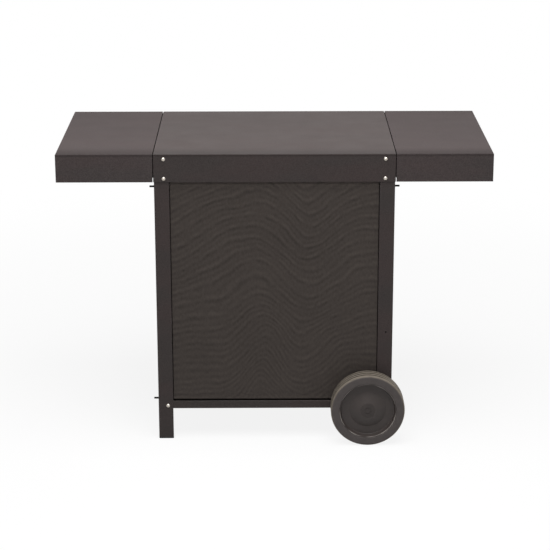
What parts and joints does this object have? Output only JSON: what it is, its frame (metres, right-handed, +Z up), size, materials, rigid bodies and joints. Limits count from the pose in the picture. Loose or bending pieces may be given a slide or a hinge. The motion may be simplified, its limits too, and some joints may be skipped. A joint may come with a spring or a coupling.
{
  "type": "plancha cabinet",
  "caption": "Wheeled steel cabinet for a plancha: folded flat top with lift-off side shelves, cloth front screen on rods, tray for a gas bottle, legs at one end and wheels at the other.",
  "frame": {"origin": "on the floor, under the middle of the cabinet", "axes": "+X to the right of someone who looks at the front, +Y from the front to the back, +Z up"},
  "size_m": [1.15, 0.641, 0.8],
  "materials": {
    "frame_paint": "fine satin powder coat, dark brown-grey",
    "screen_cloth": "woven coated mesh, brown-grey with a watered tone",
    "rod_paint": "matt black paint",
    "bolt_steel": "bright stainless steel",
    "zinc_steel": "zinc plate",
    "rivet_paint": "satin paint, dark brown-grey",
    "tyre_rubber": "dusty solid rubber",
    "rim_plastic": "moulded plastic, satin",
    "cap_plastic": "moulded plastic, satin",
    "bush_plastic": "natural nylon",
    "glide_plastic": "black plastic",
    "pad_rubber": "black rubber"
  },
  "bodies": {
    "cabinet": {"axle": "zinc_steel", "axle_plate_rivets": "rivet_paint", "axle_retainers": "zinc_steel", "axle_spacers": "bush_plastic", "axle_washers": "zinc_steel", "bottom_tray": "frame_paint", "front_axle_plate": "frame_paint", "front_left_glide": "glide_plastic", "front_left_leg": "frame_paint", "front_right_post": "frame_paint", "front_screen": "screen_cloth", "front_top_bolts": "bolt_steel", "front_tray_rail": "frame_paint", "hanger_rail_rivets": "rivet_paint", "left_hanger_rail": "frame_paint", "left_side_panel": "frame_paint", "lower_screen_rod": "rod_paint", "main_top": "frame_paint", "rear_axle_plate": "frame_paint", "rear_left_glide": "glide_plastic", "rear_left_leg": "frame_paint", "rear_right_post": "frame_paint", "rear_top_bolts": "bolt_steel", "rear_tray_rail": "frame_paint", "right_hanger_rail": "frame_paint", "right_side_panel": "frame_paint", "screen_rod_clips": "zinc_steel", "side_panel_rivets": "rivet_paint", "side_top_bolts": "bolt_steel", "top_nuts": "zinc_steel", "tray_bolts": "bolt_steel", "tray_nuts": "zinc_steel", "upper_screen_rod": "rod_paint"},
    "left_shelf_unit": {"left_shelf": "frame_paint", "left_hook_rail": "frame_paint", "left_hook_rivets": "rivet_paint", "left_shelf_pads": "pad_rubber"},
    "right_shelf_unit": {"right_shelf": "frame_paint", "right_hook_rail": "frame_paint", "right_hook_rivets": "rivet_paint", "right_shelf_pads": "pad_rubber"},
    "front_wheel": {"front_tyre": "tyre_rubber", "front_rim": "rim_plastic", "front_inner_bush": "bush_plastic", "front_outer_bush": "bush_plastic", "front_hub_cap": "cap_plastic"},
    "rear_wheel": {"rear_tyre": "tyre_rubber", "rear_rim": "rim_plastic", "rear_inner_bush": "bush_plastic", "rear_outer_bush": "bush_plastic", "rear_hub_cap": "cap_plastic"}
  },
  "joints": [
    {"name": "front_wheel_spin", "type": "hinge", "parent": "cabinet", "child": "front_wheel", "pos_m": [0.251, -0.2955, 0.1], "axis": [0, 1, 0], "continuous": true},
    {"name": "rear_wheel_spin", "type": "hinge", "parent": "cabinet", "child": "rear_wheel", "pos_m": [0.251, 0.2955, 0.1], "axis": [0, 1, 0], "continuous": true},
    {"name": "left_shelf_lift", "type": "slide", "parent": "cabinet", "child": "left_shelf_unit", "axis": [0, 0, 1], "range_m": [0, 0.12]},
    {"name": "right_shelf_lift", "type": "slide", "parent": "cabinet", "child": "right_shelf_unit", "axis": [0, 0, 1], "range_m": [0, 0.12]}
  ]
}
